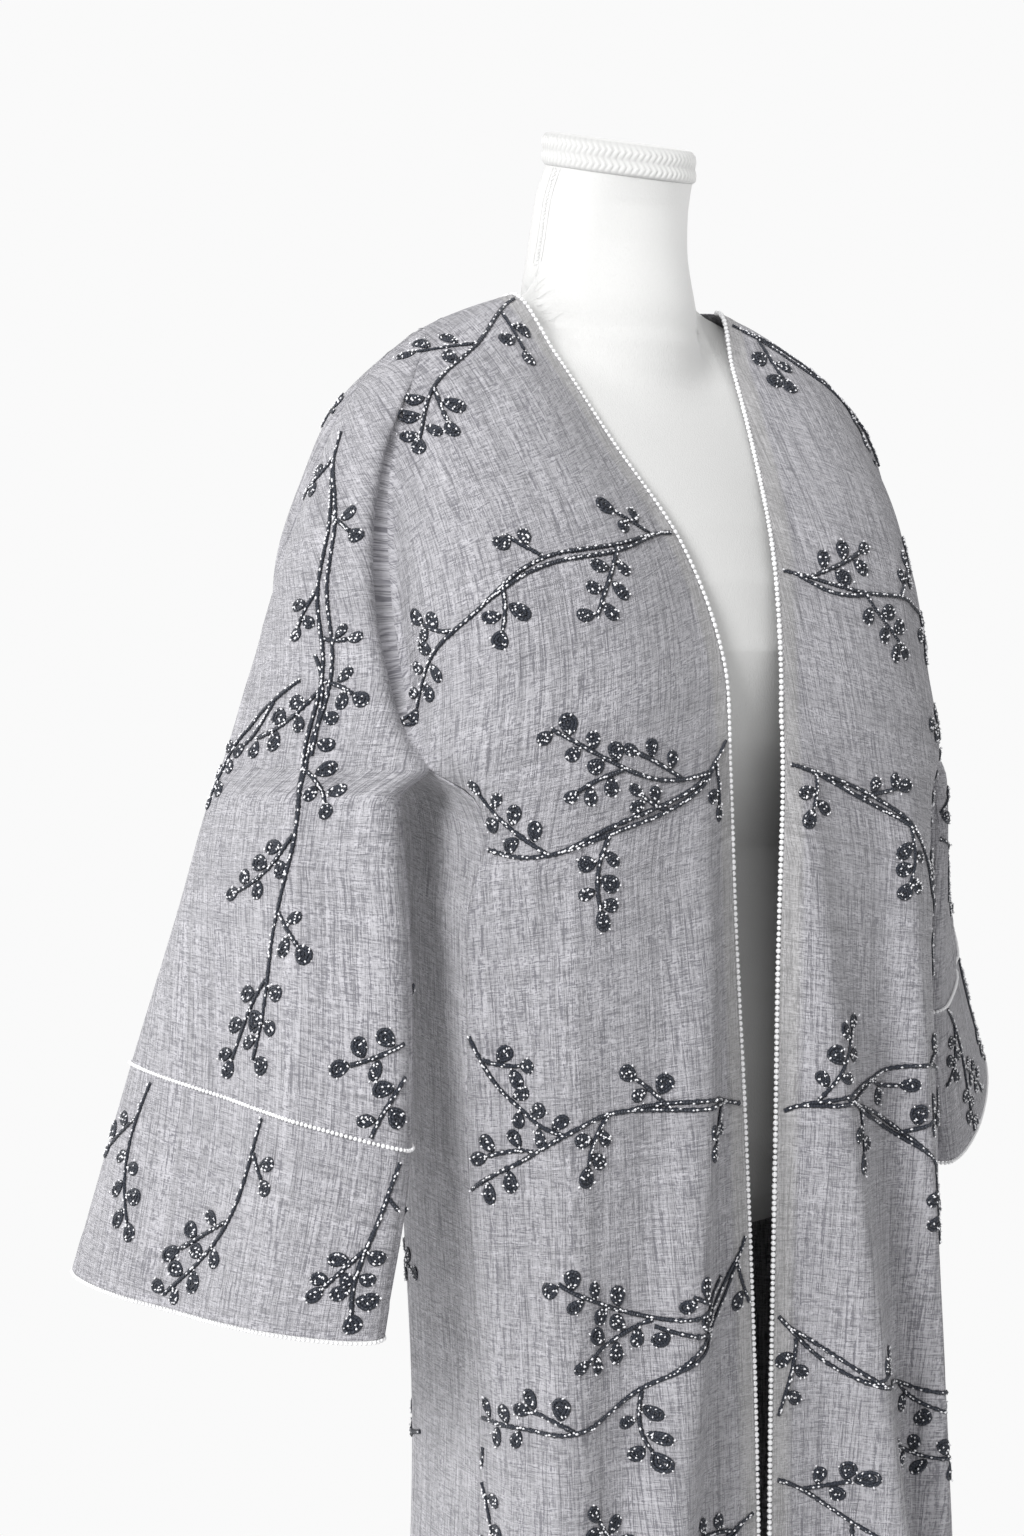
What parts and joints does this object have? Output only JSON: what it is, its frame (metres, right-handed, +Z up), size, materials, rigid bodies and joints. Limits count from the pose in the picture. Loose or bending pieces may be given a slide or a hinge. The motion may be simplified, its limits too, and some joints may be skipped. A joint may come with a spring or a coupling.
{
  "type": "open-front abaya on a limbless dress form",
  "caption": "Long open-front abaya with kimono sleeves, deep sleeve bands and beaded edges, standing on a limbless dress form with a pole and a round foot.",
  "frame": {"origin": "centre of the round foot's underside, on the floor", "axes": "+Z up, -Y towards the open front, +X towards the wearer's left"},
  "size_m": [0.8753, 0.3729, 1.5993],
  "materials": {
    "abaya_cloth": "light grey slub plain weave with a soft drape and a faint glitter",
    "bead_trim": "small silver-white beads in a single row",
    "form_jersey": "white knitted jersey stretched over the form",
    "stand_paint": "satin white paint"
  },
  "bodies": {
    "root": {"front_right": "abaya_cloth", "front_left": "abaya_cloth", "back": "abaya_cloth", "sleeve_band_right": "abaya_cloth", "sleeve_band_left": "abaya_cloth", "edge_trim_right": "bead_trim", "edge_trim_left": "bead_trim", "neck_trim": "bead_trim", "band_trim_right": "bead_trim", "band_trim_left": "bead_trim", "cuff_trim_right": "bead_trim", "cuff_trim_left": "bead_trim", "form_torso": "form_jersey", "form_neck_cap": "form_jersey", "stand_pole": "stand_paint", "stand_base": "stand_paint"}
  },
  "joints": []
}
